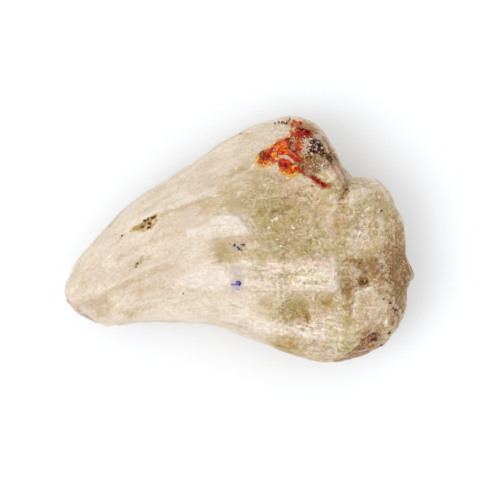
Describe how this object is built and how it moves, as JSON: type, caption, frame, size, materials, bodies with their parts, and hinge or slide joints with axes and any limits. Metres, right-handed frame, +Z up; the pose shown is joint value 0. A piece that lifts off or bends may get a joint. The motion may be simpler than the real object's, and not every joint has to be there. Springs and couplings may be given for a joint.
{
  "type": "rough ulexite specimen",
  "caption": "Rough fibrous ulexite, a fin-shaped white and olive stone with a small crust of red crystals, lying on a flat spot.",
  "frame": {"origin": "under the middle of the stone's length and width, on the plane of the flat spot that it lies on", "axes": "+X along the stone from its thin tail to its broad end, +Y towards the fin, +Z up"},
  "size_m": [0.0606, 0.0426, 0.0206],
  "materials": {
    "ulexite": "satin-white to tan fibrous borate, slightly translucent, worn smooth, rust-brown at one end",
    "realgar": "granular red-orange crystals with a resinous lustre and yellow edges"
  },
  "bodies": {
    "root": {"ulexite_stone": "ulexite", "realgar_crust": "realgar"}
  },
  "joints": []
}
